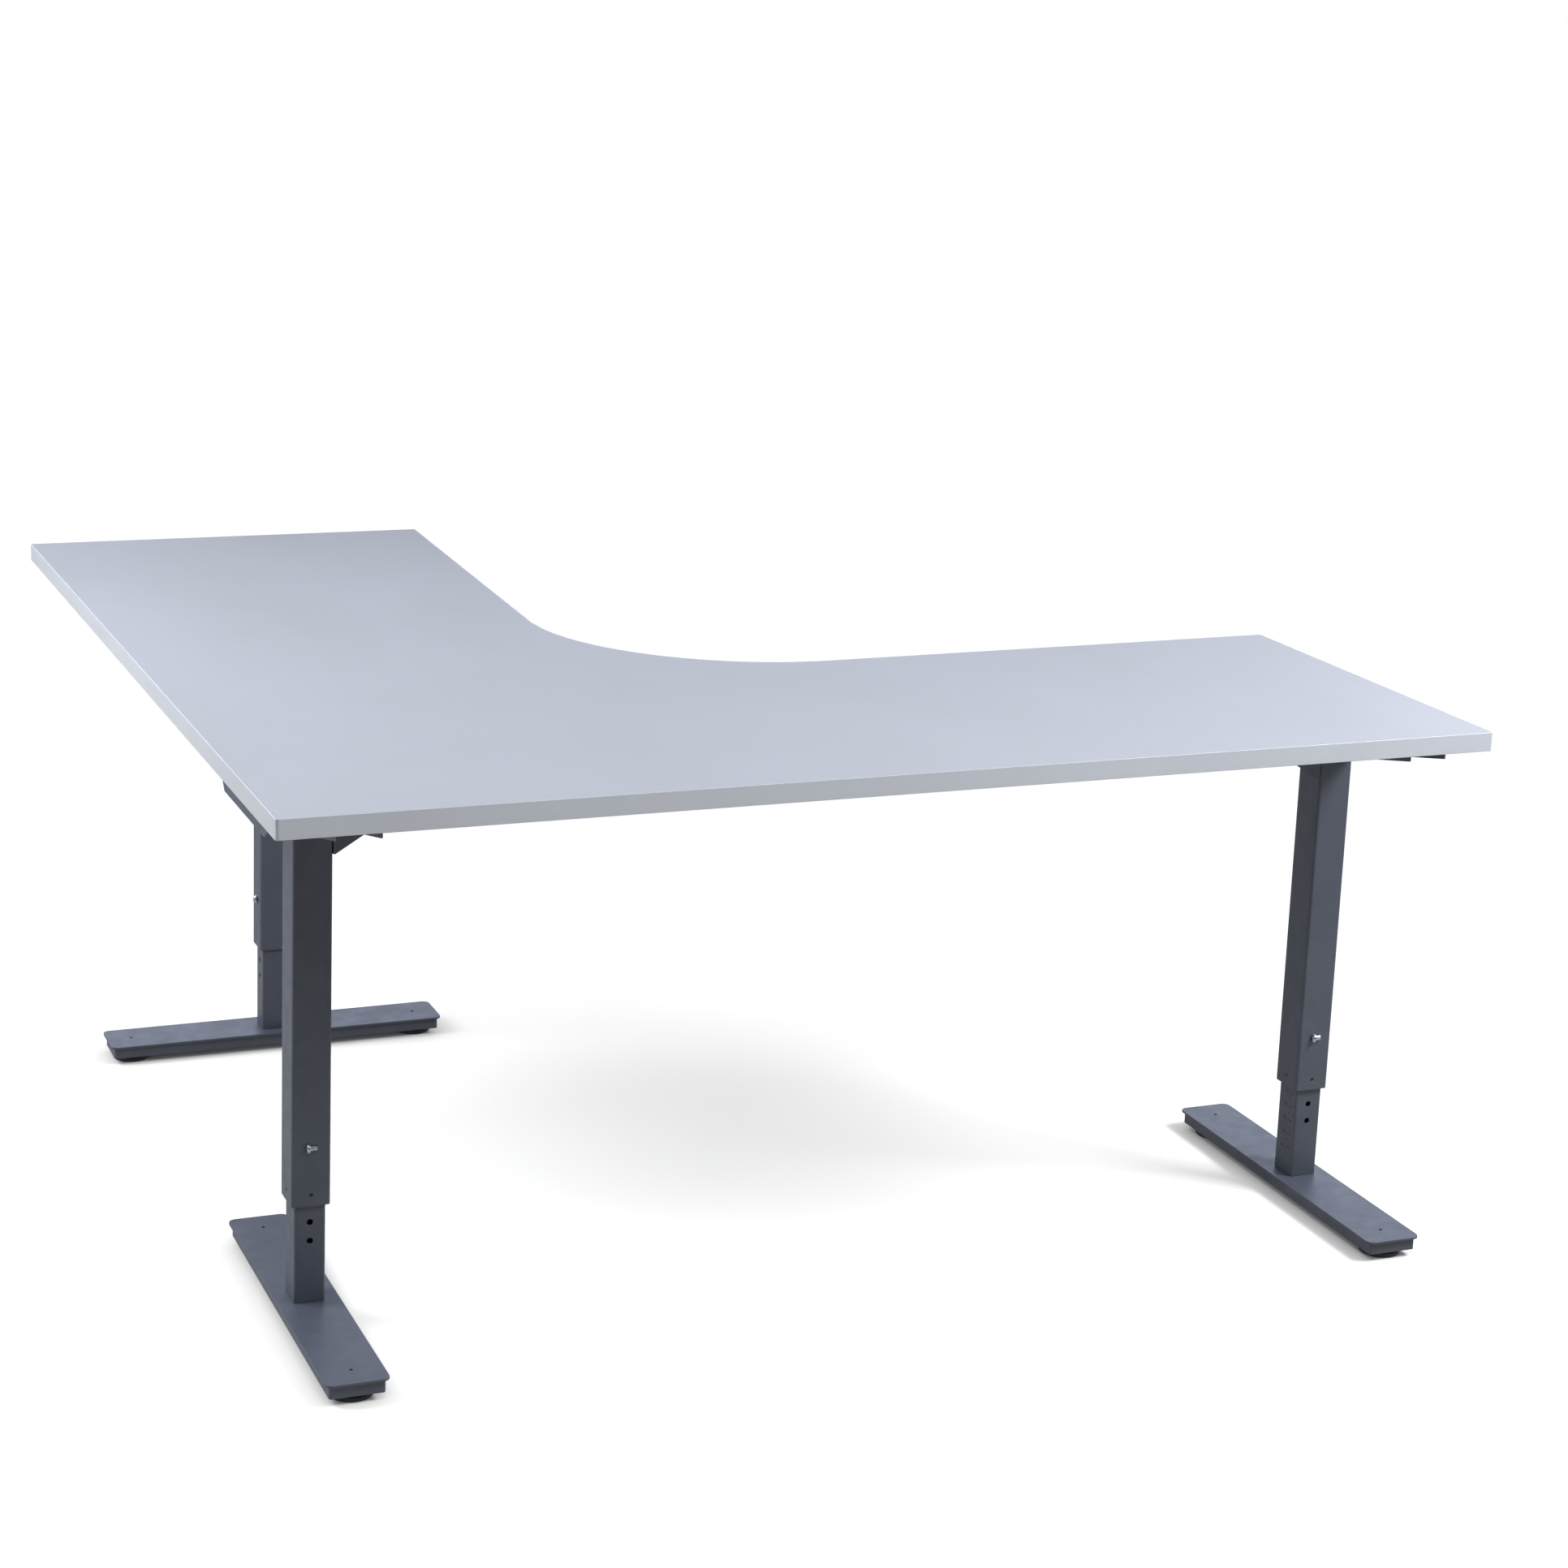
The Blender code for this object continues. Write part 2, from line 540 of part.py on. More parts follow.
def main():
    for obj in list(bpy.data.objects):
        bpy.data.objects.remove(obj, do_unlink=True)

    laminate = material("light_grey_laminate", (0.58, 0.60, 0.66), 0.45)
    band = material("light_grey_edge_band", (0.62, 0.64, 0.70), 0.40)
    coat = material("anthracite_powder_coat", (0.085, 0.095, 0.12), 0.45, 0.35)
    coat_inner = material("anthracite_inner_tube", (0.10, 0.11, 0.135), 0.40, 0.40)
    black = material("black_plastic", (0.02, 0.02, 0.022), 0.5)
    zinc = material("zinc_plated_steel", (0.62, 0.63, 0.64), 0.30, 1.0)
    finishes = (coat, coat_inner, black, zinc)

    holes = build_leg("main_left", LEG_MAIN_LEFT, False, CORNER_ARM, True, finishes)
    holes += build_leg("main_right", LEG_MAIN_RIGHT, False, CONSOLE_HALF, False, finishes)
    return_holes = build_leg("return", LEG_RETURN, True, CONSOLE_HALF, False, finishes)

    joiner_seat = UNDERSIDE - GAP - JOINER_T
    for tag, x in zip(("left", "right"), JOINER_X):
        joiner(f"joiner_plate_{tag}", x, coat)
        for board_tag, side in (("main", -1), ("return", 1)):
            y = SEAM_Y + side * JOINER_SCREW
            spot = Matrix.Translation(Vector((x, y, 0)) - CENTRE)
            make_screw(f"joiner_screw_{tag}_{board_tag}", spot, zinc, joiner_seat)
            (holes if side < 0 else return_holes).append(Vector((x, y)))

    main_corners = [(0, SEAM_Y, 0), (0, 0, EDGE_RADIUS), (MAIN_LENGTH, 0, EDGE_RADIUS),
                    (MAIN_LENGTH, MAIN_DEPTH_END, EDGE_RADIUS),
                    (RETURN_DEPTH_CORNER, MAIN_DEPTH_CORNER, CORNER_RADIUS),
                    (RETURN_DEPTH_CORNER, SEAM_Y, 0)]
    start = SEAM_Y + SEAM_GAP
    return_corners = [(RETURN_DEPTH_CORNER, start, 0),
                      (RETURN_DEPTH_END, RETURN_LENGTH, EDGE_RADIUS),
                      (0, RETURN_LENGTH, EDGE_RADIUS), (0, start, 0)]
    main_steps = [0, 4, 4, 4, 28, 0]
    return_steps = [0, 4, 4, 0]
    board("main_board", main_corners, 5, main_steps, laminate, holes)
    board("return_board", return_corners, 3, return_steps, laminate, return_holes)
    edge_band("main_edge_band", main_corners, 5, main_steps, band)
    edge_band("return_edge_band", return_corners, 3, return_steps, band)

    left_face = LEG_MAIN_LEFT[0] + CONSOLE_W / 2
    right_face = LEG_MAIN_RIGHT[0] - CONSOLE_W / 2
    beam_y = LEG_MAIN_LEFT[1] - OUTER_D / 2 + BEAM_W / 2 + GUSSET_T + GAP
    beam_z = CONSOLE_TOP - BEAM_H / 2
    beam("main_crossbeam", (left_face + GAP, beam_y, beam_z), (right_face - GAP, beam_y, beam_z),
         BEAM_H, coat)
    rear = beam_y - BEAM_W / 2 - GAP
    gusset("gusset_main_left", LEG_MAIN_LEFT[0], 1, rear, coat)
    gusset("gusset_main_right", LEG_MAIN_RIGHT[0], -1, rear, coat)
    return_z = CONSOLE_TOP - CONSOLE_T - GAP - RETURN_BEAM_H / 2
    beam_start = LEG_MAIN_LEFT[1] + CORNER_ARM - RETURN_BEAM_INSIDE
    beam_end = LEG_RETURN[1] - CONSOLE_W / 2 - GAP
    x = LEG_MAIN_LEFT[0]
    beam("return_crossbeam", (x, beam_start, return_z), (x, beam_end, return_z),
         RETURN_BEAM_H, coat)


main()
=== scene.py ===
"""Looks of the L-shaped standing desk: finishes, small details, light and camera."""
import json
import math

import bmesh
import bpy
from mathutils import Matrix, Vector

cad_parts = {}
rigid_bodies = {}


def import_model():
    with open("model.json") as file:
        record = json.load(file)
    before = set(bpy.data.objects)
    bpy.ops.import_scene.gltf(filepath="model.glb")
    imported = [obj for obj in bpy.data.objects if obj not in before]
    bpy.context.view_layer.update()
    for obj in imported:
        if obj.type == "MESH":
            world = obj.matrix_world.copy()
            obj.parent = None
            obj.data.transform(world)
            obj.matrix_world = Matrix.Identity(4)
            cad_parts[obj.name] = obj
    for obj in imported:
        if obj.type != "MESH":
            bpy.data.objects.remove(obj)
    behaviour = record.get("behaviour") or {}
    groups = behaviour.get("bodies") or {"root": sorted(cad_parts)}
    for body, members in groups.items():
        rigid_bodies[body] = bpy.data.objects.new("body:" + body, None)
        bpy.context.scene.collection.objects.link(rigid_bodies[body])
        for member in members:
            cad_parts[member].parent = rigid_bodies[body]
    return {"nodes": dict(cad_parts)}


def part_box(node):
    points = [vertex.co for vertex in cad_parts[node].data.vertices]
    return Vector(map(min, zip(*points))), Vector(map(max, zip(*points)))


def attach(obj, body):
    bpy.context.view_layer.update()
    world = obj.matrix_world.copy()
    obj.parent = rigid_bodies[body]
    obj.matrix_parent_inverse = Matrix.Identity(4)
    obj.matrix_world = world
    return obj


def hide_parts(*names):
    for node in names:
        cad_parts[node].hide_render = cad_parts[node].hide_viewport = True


for stray in list(bpy.data.objects):
    bpy.data.objects.remove(stray, do_unlink=True)

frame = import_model()
bpy.context.view_layer.update()
NODES = frame["nodes"]
LEGS = ("main_left", "main_right", "return")

# ---- finishes --------------------------------------------------------------------------
LAMINATE = (0.508, 0.534, 0.602)
EDGING = (0.760, 0.795, 0.870)
COAT = (0.080, 0.094, 0.128)
INNER_COAT = (0.078, 0.091, 0.123)
PLASTIC = (0.012, 0.012, 0.014)
ZINC = (0.60, 0.62, 0.66)
INK = (0.012, 0.013, 0.016)


class Finish:
    """A Principled material and the few node helpers that the finishes share."""

    def __init__(self, name, colour, roughness, metallic=0.0):
        self.material = bpy.data.materials.new(name)
        self.material.use_nodes = True
        self.material.diffuse_color = (*colour, 1)
        self.tree = self.material.node_tree
        self.shader = self.tree.nodes["Principled BSDF"]
        self.shader.inputs["Base Color"].default_value = (*colour, 1)
        self.shader.inputs["Roughness"].default_value = roughness
        self.shader.inputs["Metallic"].default_value = metallic
        self.place = self.tree.nodes.new("ShaderNodeTexCoord").outputs["Object"]
        self.height = None

    def link(self, source, socket):
        self.tree.links.new(source, socket)

    def scaled(self, scale, offset=(0, 0, 0)):
        node = self.tree.nodes.new("ShaderNodeMapping")
        node.inputs["Scale"].default_value = scale
        node.inputs["Location"].default_value = offset
        self.link(self.place, node.inputs["Vector"])
        return node.outputs["Vector"]

    def noise(self, scale, detail=3.0, rough=0.55, where=None):
        node = self.tree.nodes.new("ShaderNodeTexNoise")
        node.inputs["Scale"].default_value = scale
        node.inputs["Detail"].default_value = detail
        node.inputs["Roughness"].default_value = rough
        self.link(where or self.place, node.inputs["Vector"])
        return node.outputs["Fac"]

    def cells(self, scale, where=None):
        node = self.tree.nodes.new("ShaderNodeTexVoronoi")
        node.inputs["Scale"].default_value = scale
        self.link(where or self.place, node.inputs["Vector"])
        return node.outputs["Distance"]

    def spread(self, value, low, high, start=0.0, end=1.0):
        """Maps low..high of a texture onto start..end, clamped."""
        node = self.tree.nodes.new("ShaderNodeMapRange")
        node.inputs["From Min"].default_value = low
        node.inputs["From Max"].default_value = high
        node.inputs["To Min"].default_value = start
        node.inputs["To Max"].default_value = end
        self.link(value, node.inputs["Value"])
        return node.outputs["Result"]

    def math(self, operation, a, b):
        node = self.tree.nodes.new("ShaderNodeMath")
        node.operation = operation
        for socket, value in zip(node.inputs, (a, b)):
            if isinstance(value, (int, float)):
                socket.default_value = value
            else:
                self.link(value, socket)
        return node.outputs["Value"]

    def blend(self, factor, a, b):
        """A colour between a and b; each is a triple or another blend."""
        node = self.tree.nodes.new("ShaderNodeMix")
        node.data_type = "RGBA"
        colours = [s for s in node.inputs if s.type == "RGBA"]
        for socket, value in zip(colours, (a, b)):
            if isinstance(value, tuple):
                socket.default_value = (*value, 1)
            else:
                self.link(value, socket)
        self.link(factor, node.inputs["Factor"])
        return next(s for s in node.outputs if s.type == "RGBA")

    def bump(self, height, distance, strength=1.0):
        """Adds a layer of relief; distance is its height in metres."""
        node = self.tree.nodes.new("ShaderNodeBump")
        node.inputs["Distance"].default_value = distance
        node.inputs["Strength"].default_value = strength
        self.link(height, node.inputs["Height"])
        if self.height is not None:
            self.link(self.height, node.inputs["Normal"])
        self.height = node.outputs["Normal"]
        self.link(self.height, self.shader.inputs["Normal"])

    def colour(self, value):
        self.link(value, self.shader.inputs["Base Color"])

    def roughness(self, value):
        self.link(value, self.shader.inputs["Roughness"])


def shade(colour, factor):
    return tuple(min(1.0, c * factor) for c in colour)


def laminate_finish(name, colour, grain):
    """Pearl-textured melamine: a fine orange peel, faint clouding and wipe marks."""
    f = Finish(name, colour, 0.55)
    f.shader.inputs["Specular IOR Level"].default_value = 0.36
    cloud = f.spread(f.noise(2.2, 4.0), 0.35, 0.65)
    body = f.blend(cloud, shade(colour, 0.975), shade(colour, 1.02))
    speck = f.spread(f.noise(650.0, 2.0), 0.56, 0.72)
    body = f.blend(speck, body, shade(colour, 0.93))
    pale = f.spread(f.noise(520.0, 2.0, where=f.scaled((1, 1, 1), (7, 3, 1))), 0.60, 0.74)
    f.colour(f.blend(pale, body, shade(colour, 1.06)))
    wipe = f.noise(5.0, 5.0, 0.6, f.scaled((1.0, 0.35, 1.0)))
    f.roughness(f.spread(wipe, 0.3, 0.7, 0.52, 0.61))
    f.bump(f.noise(900.0, 3.0, 0.6), 0.00006, grain)
    f.bump(f.cells(420.0), 0.00004, grain)
    return f.material


def edging_finish():
    """Extruded ABS: long drag lines along the strip and a slightly glossier skin."""
    f = Finish("abs_edging", EDGING, 0.38)
    lines = f.noise(1.0, 3.0, 0.6, f.scaled((6, 6, 1500)))
    cloud = f.spread(f.noise(9.0, 3.0), 0.35, 0.65)
    body = f.blend(cloud, shade(EDGING, 0.98), shade(EDGING, 1.02))
    f.colour(f.blend(f.spread(lines, 0.58, 0.75), body, shade(EDGING, 0.95)))
    f.roughness(f.spread(f.noise(60.0, 3.0), 0.3, 0.7, 0.32, 0.44))
    f.bump(lines, 0.00003, 0.4)
    return f.material


def coat_finish(name, colour, scuffed):
    """Fine-grained metallic powder coat; a scuffed one has rub marks along the tube."""
    f = Finish(name, colour, 0.45)
    f.shader.inputs["Specular IOR Level"].default_value = 0.80
    cloud = f.spread(f.noise(14.0, 4.0), 0.35, 0.65)
    body = f.blend(cloud, shade(colour, 0.94), shade(colour, 1.05))
    flake = f.spread(f.noise(2600.0, 1.0), 0.60, 0.75)
    body = f.blend(flake, body, shade(colour, 1.9))
    pit = f.spread(f.noise(1500.0, 2.0, where=f.scaled((1, 1, 1), (3, 5, 2))), 0.60, 0.78)
    body = f.blend(pit, body, shade(colour, 0.55))
    rough = f.spread(f.noise(45.0, 4.0), 0.3, 0.7, 0.38, 0.52)
    if scuffed:
        rub = f.noise(1.0, 4.0, 0.65, f.scaled((420, 420, 6)))
        mark = f.math("MULTIPLY", f.spread(rub, 0.58, 0.72), f.spread(f.noise(11.0), 0.45, 0.7))
        body = f.blend(mark, body, shade(colour, 1.5))
        rough = f.math("SUBTRACT", rough, f.math("MULTIPLY", mark, 0.10))
    f.colour(body)
    f.roughness(rough)
    f.bump(f.noise(1100.0, 3.0, 0.6), 0.00007, 0.35)
    f.bump(f.cells(700.0), 0.00004, 0.3)
    return f.material


def plastic_finish():
    """Moulded black plastic with a spark-eroded grain and a little dust."""
    f = Finish("black_moulded_plastic", PLASTIC, 0.5)
    dust = f.spread(f.noise(70.0, 5.0, 0.7), 0.52, 0.75)
    f.colour(f.blend(dust, PLASTIC, (0.035, 0.035, 0.037)))
    f.roughness(f.spread(f.noise(160.0, 3.0), 0.3, 0.7, 0.42, 0.62))
    f.bump(f.noise(1600.0, 2.0), 0.00006, 0.5)
    return f.material


def zinc_finish():
    """Bright zinc plating with fine scratches and dull patches."""
    f = Finish("bright_zinc", ZINC, 0.28, 1.0)
    patch = f.spread(f.noise(380.0, 4.0, 0.6), 0.35, 0.7)
    f.colour(f.blend(patch, ZINC, shade(ZINC, 0.72)))
    f.roughness(f.spread(f.noise(700.0, 3.0), 0.3, 0.7, 0.20, 0.40))
    f.bump(f.noise(1.0, 3.0, 0.6, f.scaled((4200, 4200, 900))), 0.00002, 0.5)
    return f.material


def ink_finish():
    """Printed ink, a little worn so that the coat shows through its texture."""
    f = Finish("scale_ink", INK, 0.6)
    worn = f.spread(f.noise(1500.0, 3.0), 0.58, 0.85)
    f.colour(f.blend(worn, INK, shade(COAT, 0.55)))
    f.roughness(f.spread(f.noise(900.0), 0.3, 0.7, 0.5, 0.7))
    f.bump(f.noise(1800.0), 0.00003, 0.4)
    return f.material


TOP = laminate_finish("melamine_top", LAMINATE, 0.5)
BAND = edging_finish()
OUTER = coat_finish("powder_coat_outer", COAT, False)
INNER = coat_finish("powder_coat_inner", INNER_COAT, True)
BLACK = plastic_finish()
BRIGHT = zinc_finish()
SCALE_INK = ink_finish()
BY_SLOT = {
    "laminate_board": TOP, "edge_band": BAND, "powder_coat": OUTER,
    "inner_powder_coat": INNER, "black_plastic": BLACK, "zinc_steel": BRIGHT,
}


# ---- finishes and softened edges on the CAD nodes ----------------------------------------
BEVELS = {  # node name's start: (radius, segments)
    "outer_tube": (0.0005, 2), "inner_tube": (0.0004, 2), "foot_plate": (0.0007, 3),
    "foot_channel": (0.0007, 2), "console": (0.0006, 2), "gusset": (0.0005, 2),
    "main_crossbeam": (0.0005, 2), "return_crossbeam": (0.0005, 2),
    "joiner_plate": (0.0005, 2), "glide_main": (0.0006, 2), "glide_return": (0.0006, 2),
    "guide_sleeve": (0.0003, 1), "main_edge_band": (0.0006, 3), "return_edge_band": (0.0006, 3),
}


def soften(node, radius, segments):
    """Rounds a node's sharp edges with modifiers; its mesh stays as it was packed."""
    weld = node.modifiers.new("weld", "WELD")
    weld.merge_threshold = 1e-5
    bevel = node.modifiers.new("bevel", "BEVEL")
    bevel.width = radius
    bevel.segments = segments
    bevel.limit_method = "ANGLE"
    bevel.angle_limit = math.radians(35)
    normals = node.modifiers.new("normals", "WEIGHTED_NORMAL")
    normals.keep_sharp = False


for name, node in NODES.items():
    slot = node.data.materials[0].name.split(".")[0]
    node.data.materials[0] = BY_SLOT[slot]
    size = next((v for k, v in BEVELS.items() if name.startswith(k)
                 and not name.startswith("console_screw")), None)
    if size:
        soften(node, *size)


# ---- pieces that the CAD leaves out ------------------------------------------------------
TICK_STEP, TICK_LOW, TICK_HIGH = 0.010, 0.060, 0.240   # marks up the inner tube
READING_LOW = 65                                       # centimetres at the lowest mark
INK_RAISED = 0.00005
DIGIT_HEIGHT, TICK_THICK = 0.0062, 0.001
LONG_TICK, SHORT_TICK, FIGURES = (0.62, 0.82), (0.58, 0.68), 0.42   # shares of the tube's side


def add_piece(name, mesh, material, body):
    made = bpy.data.objects.new(name, mesh)
    bpy.context.scene.collection.objects.link(made)
    mesh.materials.clear()
    mesh.materials.append(material)
    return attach(made, body)


def add_rings(bm, rings):
    """A closed skin through rings of equal length, the first and last of them capped."""
    loops = [[bm.verts.new(p) for p in ring] for ring in rings]
    n = len(rings[0])
    for a, b in zip(loops, loops[1:]):
        for i in range(n):
            bm.faces.new((a[i], a[(i + 1) % n], b[(i + 1) % n], b[i]))
    bm.faces.new(loops[0][::-1])
    bm.faces.new(loops[-1])


def digits(text, middle, height, bm):
    """Raised figures on a face that looks along -X, their middle at the given point."""
    curve = bpy.data.curves.new("figures", "FONT")
    curve.body = text
    curve.align_x = "CENTER"
    curve.extrude = INK_RAISED / 2
    curve.resolution_u = 3
    holder = bpy.data.objects.new("figures", curve)
    bpy.context.scene.collection.objects.link(holder)
    bpy.context.view_layer.update()
    mesh = bpy.data.meshes.new_from_object(holder.evaluated_get(
        bpy.context.evaluated_depsgraph_get()))
    bpy.data.objects.remove(holder, do_unlink=True)
    low = min(v.co.y for v in mesh.vertices)
    high = max(v.co.y for v in mesh.vertices)
    scale = height / (high - low)
    for v in mesh.vertices:
        x, y, depth = v.co
        v.co = (middle[0] - INK_RAISED / 2 - depth, middle[1] - x * scale,
                middle[2] + (y - (low + high) / 2) * scale)
    start = len(bm.verts)
    bm.from_mesh(mesh)
    bm.verts.ensure_lookup_table()
    bmesh.ops.remove_doubles(bm, verts=bm.verts[start:], dist=1e-7)
    bpy.data.meshes.remove(mesh)


def height_scale(tag):
    """The printed height scale on the inner tube's side: a mark each centimetre, read every two."""
    low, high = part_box("inner_tube_" + tag)
    face, wide = low.x, high.y - low.y

    def at(share):
        return high.y - share * wide

    bm = bmesh.new()
    count = round((TICK_HIGH - TICK_LOW) / TICK_STEP) + 1
    for k in range(count):
        z = TICK_LOW + k * TICK_STEP
        reading = READING_LOW + k
        long_mark = reading % 2 == 0
        y0, y1 = [at(share) for share in (LONG_TICK if long_mark else SHORT_TICK)]
        low_z, high_z = z - TICK_THICK / 2, z + TICK_THICK / 2
        corners = [(y0, low_z), (y1, low_z), (y1, high_z), (y0, high_z)]
        add_rings(bm, [[(x, y, h) for y, h in corners] for x in (face, face - INK_RAISED)])
        if long_mark:
            digits(str(reading), (face, at(FIGURES), z), DIGIT_HEIGHT, bm)
    bmesh.ops.recalc_face_normals(bm, faces=bm.faces)
    mesh = bpy.data.meshes.new("height_scale_" + tag)
    bm.to_mesh(mesh)
    bm.free()
    add_piece("height_scale_" + tag, mesh, SCALE_INK, "lower_leg_" + tag)


BOLT_PROFILE = (  # (radius, depth from the top of the head), outside the recess
    (0.0038, 0.0), (0.0045, 0.00015), (0.0056, 0.0007), (0.0064, 0.0016), (0.0069, 0.0028),
    (0.0070, 0.0038), (0.0068, 0.0045), (0.0038, 0.0045),
)
CROSS_LONG, CROSS_WIDE = 0.0034, 0.0009   # half length and half width of the recess's arms
CROSS = ((0.30, 0.0030), (0.88, 0.0013), (1.00, 0.0))   # (share of its size, depth)
BOLT_POINTS = 64


def lock_bolt(tag):
    """The bright button-head bolt with its cross recess, in the place of the plain one."""
    node = "lock_bolt_" + tag
    low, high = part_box(node)
    along = 0 if high.x - low.x > high.y - low.y else 1
    middle = (low + high) / 2
    length = high[along] - low[along]
    turn = [2 * math.pi * k / BOLT_POINTS for k in range(BOLT_POINTS)]

    def point(radius, angle, depth):
        across, up = radius * math.cos(angle), radius * math.sin(angle)
        p = Vector((middle.x, middle.y, middle.z + up))
        p[along] = low[along] + depth
        p[1 - along] += across
        return p

    def cross(angle):
        off = abs((angle + math.pi / 4) % (math.pi / 2) - math.pi / 4)
        return min(CROSS_LONG, CROSS_WIDE / max(math.sin(off), 1e-6))

    rings = [[point(share * cross(a), a, d) for a in turn] for share, d in CROSS]
    shank = ((BOLT_PROFILE[-1][0], length - 0.0006), (BOLT_PROFILE[-1][0] - 0.0006, length))
    rings += [[point(r, a, d) for a in turn] for r, d in BOLT_PROFILE + shank]
    bm = bmesh.new()
    add_rings(bm, rings)
    bmesh.ops.recalc_face_normals(bm, faces=bm.faces)
    for face in bm.faces:
        face.smooth = len(face.verts) == 4
    for edge in bm.edges:
        edge.smooth = edge.calc_face_angle(0.0) < math.radians(32)
    mesh = bpy.data.meshes.new("cross_bolt_" + tag)
    bm.to_mesh(mesh)
    bm.free()
    made = add_piece("cross_bolt_" + tag, mesh, BRIGHT, node)
    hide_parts(node)


height_scale("main_right")
for tag in LEGS:
    lock_bolt(tag)


# ---- stage, light and camera ----------------------------------------------------------
FLOOR_HALF = 30.0
FLOOR_BODY = "glide_main_left_rear"   # the floor stays under this foot when the legs move
FLOOR_SEEN = 0.80        # how strongly the visible floor takes light, and so shadows
FLOOR_GLOW = (0.64, 1.0)   # its own light for the camera, beside the desk and far from it
GLOW_RISE = (1.5, 4.0)   # distances from the middle between which that glow rises
FLOOR_BOUNCE = 0.42      # how pale the floor is to light that bounces
CONTACT_REACH = 0.16     # how far the painted soft shadow round a foot spreads
FLOOR_SHEEN = 0.24       # its own light in reflections
AMBIENT = 0.02
BACKDROP_SHEEN = (0.14, 1.35)   # the studio in reflections, in front of and behind the desk


def mixed(tree, factor, a, b):
    node = tree.nodes.new("ShaderNodeMixShader")
    tree.links.new(factor, node.inputs["Fac"])
    tree.links.new(a, node.inputs[1])
    tree.links.new(b, node.inputs[2])
    return node.outputs[0]


def make_floor():
    """A pale seamless floor: to the camera it glows more and more with distance, up to white, and
    the glow dims close to the feet as a painted contact shadow.
    """
    mesh = bpy.data.meshes.new("studio_floor")
    r = FLOOR_HALF
    mesh.from_pydata([(-r, -r, 0), (r, -r, 0), (r, r, 0), (-r, r, 0)], [], [(0, 1, 2, 3)])
    floor = bpy.data.objects.new("studio_floor", mesh)
    bpy.context.scene.collection.objects.link(floor)
    made = bpy.data.materials.new("studio_floor")
    made.use_nodes = True
    tree = made.node_tree
    tree.nodes.remove(tree.nodes["Principled BSDF"])

    def lit(grey, strength):
        diffuse = tree.nodes.new("ShaderNodeBsdfDiffuse")
        diffuse.inputs["Color"].default_value = (grey, grey, grey, 1)
        glow = tree.nodes.new("ShaderNodeEmission")
        if isinstance(strength, float):
            glow.inputs["Strength"].default_value = strength
        else:
            tree.links.new(strength, glow.inputs["Strength"])
        both = tree.nodes.new("ShaderNodeAddShader")
        tree.links.new(diffuse.outputs[0], both.inputs[0])
        tree.links.new(glow.outputs[0], both.inputs[1])
        return both.outputs[0]

    place = tree.nodes.new("ShaderNodeTexCoord")
    far = tree.nodes.new("ShaderNodeVectorMath")
    far.operation = "LENGTH"
    tree.links.new(place.outputs["Object"], far.inputs[0])
    rise = tree.nodes.new("ShaderNodeMapRange")
    rise.inputs["From Min"].default_value = GLOW_RISE[0]
    rise.inputs["From Max"].default_value = GLOW_RISE[1]
    rise.inputs["To Min"].default_value = FLOOR_GLOW[0]
    rise.inputs["To Max"].default_value = FLOOR_GLOW[1]
    tree.links.new(far.outputs["Value"], rise.inputs["Value"])
    # painted contact shadow: ambient occlusion dims the floor's glow for the camera near the feet
    near = tree.nodes.new("ShaderNodeAmbientOcclusion")
    near.inputs["Distance"].default_value = CONTACT_REACH
    near.samples = 8
    glow = tree.nodes.new("ShaderNodeMath")
    glow.operation = "MULTIPLY"
    tree.links.new(rise.outputs[0], glow.inputs[0])
    tree.links.new(near.outputs["AO"], glow.inputs[1])
    path = tree.nodes.new("ShaderNodeLightPath")
    unseen = mixed(tree, path.outputs["Is Glossy Ray"], lit(FLOOR_BOUNCE, 0.0),
                   lit(FLOOR_BOUNCE, FLOOR_SHEEN))
    shown = mixed(tree, path.outputs["Is Camera Ray"], unseen, lit(FLOOR_SEEN, glow.outputs[0]))
    tree.links.new(shown, tree.nodes["Material Output"].inputs["Surface"])
    mesh.materials.append(made)
    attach(floor, FLOOR_BODY)


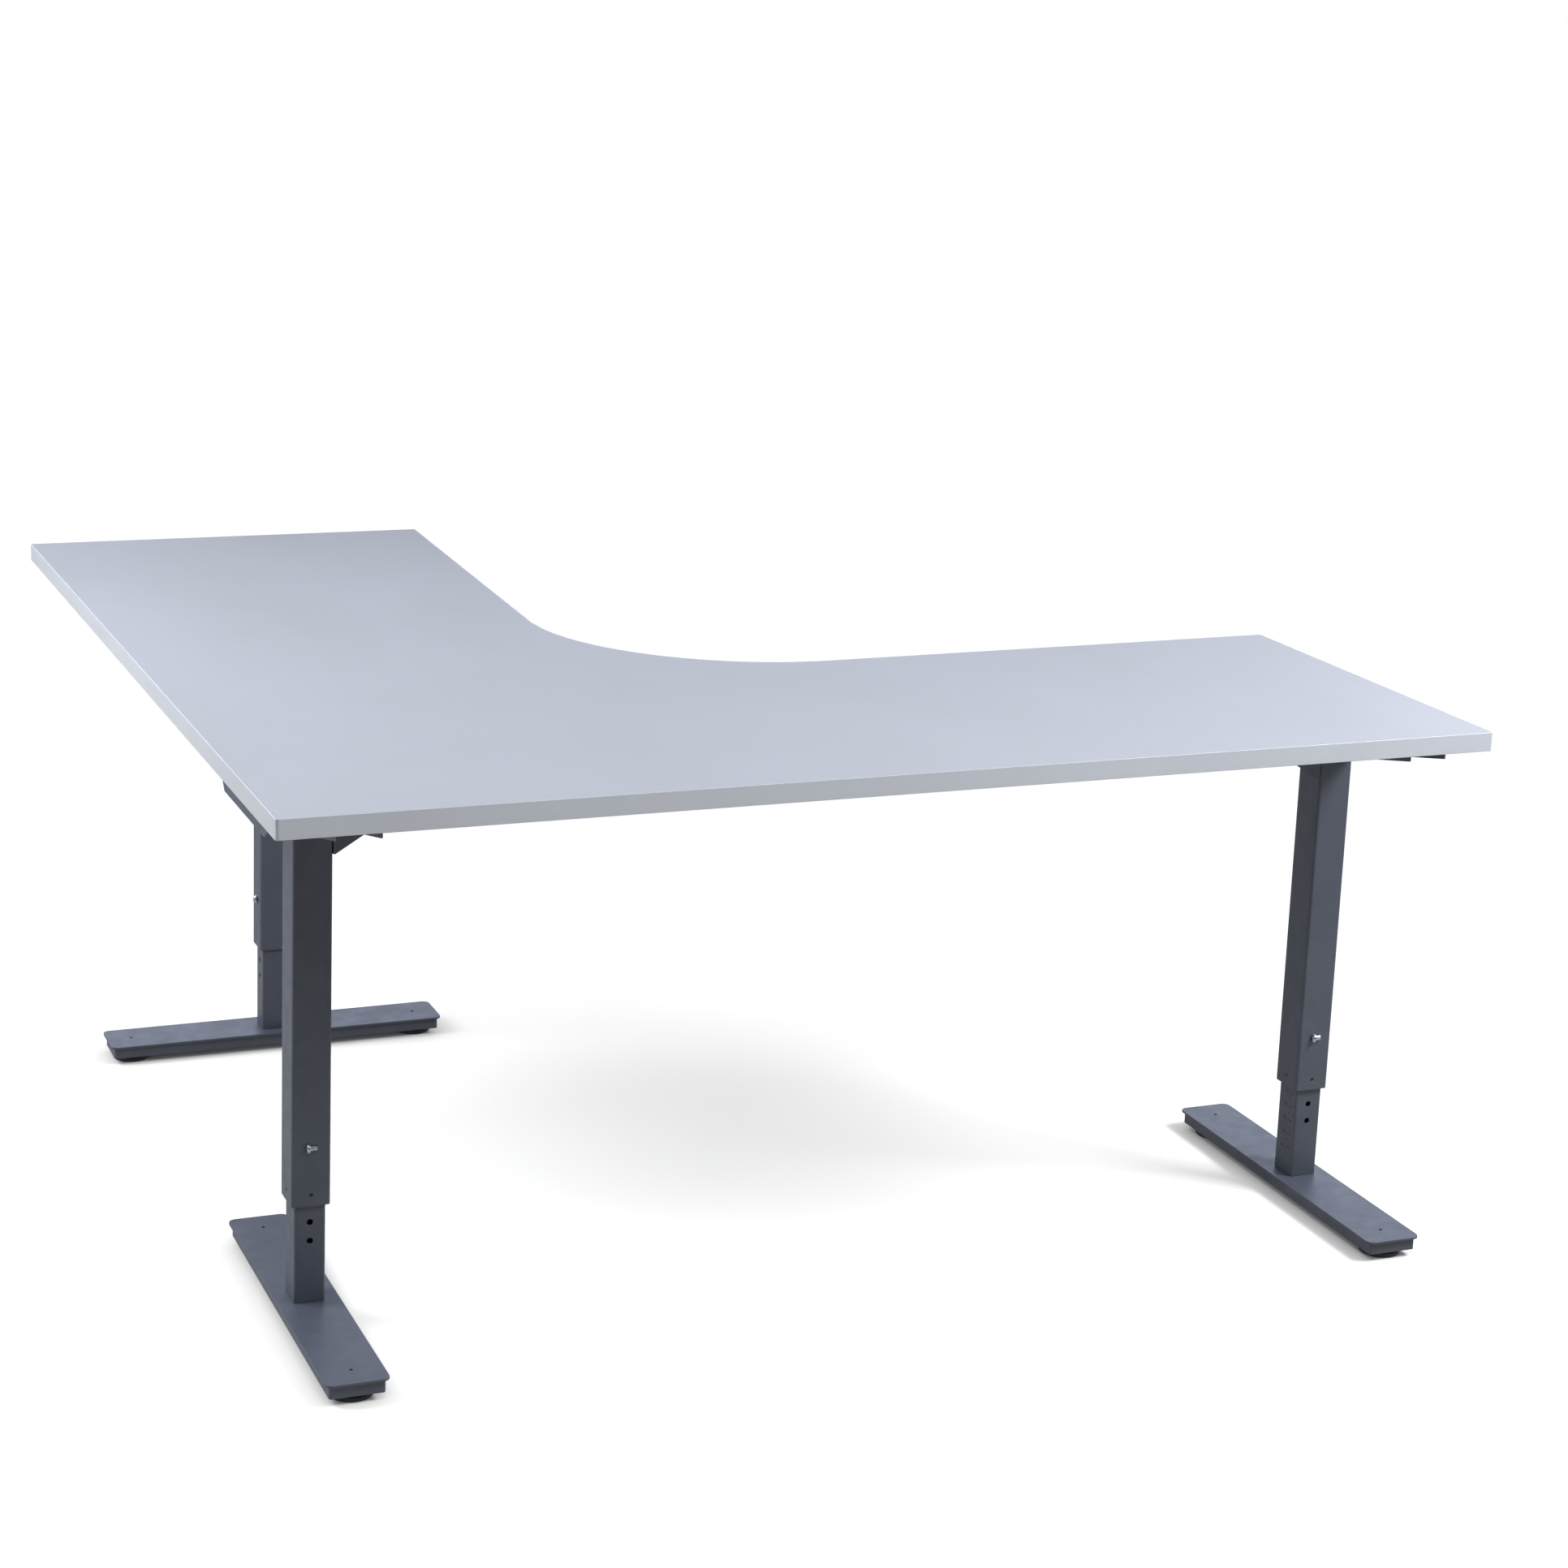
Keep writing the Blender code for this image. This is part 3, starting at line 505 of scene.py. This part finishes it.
def make_world():
    """White to the camera, dim as a light, and in reflections bright behind the desk only."""
    world = bpy.data.worlds.new("studio")
    world.use_nodes = True
    tree = world.node_tree
    tree.nodes.remove(tree.nodes["Background"])

    def sky(colour, strength):
        node = tree.nodes.new("ShaderNodeBackground")
        node.inputs["Color"].default_value = (*colour, 1)
        if isinstance(strength, float):
            node.inputs["Strength"].default_value = strength
        else:
            tree.links.new(strength, node.inputs["Strength"])
        return node.outputs[0]

    heading = tree.nodes.new("ShaderNodeTexCoord")
    parts = tree.nodes.new("ShaderNodeSeparateXYZ")
    tree.links.new(heading.outputs["Generated"], parts.inputs[0])
    rise = tree.nodes.new("ShaderNodeMapRange")
    rise.inputs["From Min"].default_value = -0.3
    rise.inputs["From Max"].default_value = 0.4
    rise.inputs["To Min"].default_value = BACKDROP_SHEEN[0]
    rise.inputs["To Max"].default_value = BACKDROP_SHEEN[1]
    tree.links.new(parts.outputs["Y"], rise.inputs["Value"])
    path = tree.nodes.new("ShaderNodeLightPath")
    unseen = mixed(tree, path.outputs["Is Glossy Ray"], sky((0.93, 0.96, 1.0), AMBIENT),
                   sky((0.86, 0.93, 1.13), rise.outputs[0]))
    shown = mixed(tree, path.outputs["Is Camera Ray"], unseen, sky((1.0, 1.0, 1.0), 1.0))
    tree.links.new(shown, tree.nodes["World Output"].inputs["Surface"])
    bpy.context.scene.world = world


LIGHTS = (  # name, place, aimed at, side length, power
    ("left_high", (-2.3, 0.3, 1.9), (-0.5, 0.0, 0.5), 1.2, 44),
    ("front_high", (-1.0, -2.6, 3.0), (-0.3, -0.5, 0.4), 1.4, 22),
    ("right_high", (2.1, -1.7, 2.5), (0.5, -0.6, 0.6), 1.0, 84),
)
SENSOR, LENS = 36.0, 73.946
CAMERA_SHIFT = (0.034, -0.0911)
CAMERA_PLACE = (-1.620821, -4.167862, 1.749363)
CAMERA_RIGHT = (0.929909, -0.366195, 0.034229)
CAMERA_UP = (0.050086, 0.218287, 0.974598)
CAMERA_BACK = (-0.364365, -0.904572, 0.221329)


def softbox(name, place, target, side, power):
    light = bpy.data.lights.new(name, "AREA")
    light.shape = "RECTANGLE"
    light.size = light.size_y = side
    light.energy = power
    made = bpy.data.objects.new(name, light)
    made.location = place
    made.rotation_euler = (Vector(target) - Vector(place)).to_track_quat("-Z", "Y").to_euler()
    made.visible_camera = False
    bpy.context.scene.collection.objects.link(made)


def make_camera():
    data = bpy.data.cameras.new("camera")
    data.sensor_width, data.lens = SENSOR, LENS
    data.shift_x, data.shift_y = CAMERA_SHIFT
    camera = bpy.data.objects.new("camera", data)
    turn = Matrix((CAMERA_RIGHT, CAMERA_UP, CAMERA_BACK)).transposed().to_4x4()
    camera.matrix_world = Matrix.Translation(CAMERA_PLACE) @ turn
    bpy.context.scene.collection.objects.link(camera)
    bpy.context.scene.camera = camera


make_floor()
make_world()
for light in LIGHTS:
    softbox(*light)
make_camera()
bpy.context.scene.view_settings.view_transform = "Standard"

bpy.context.view_layer.update()
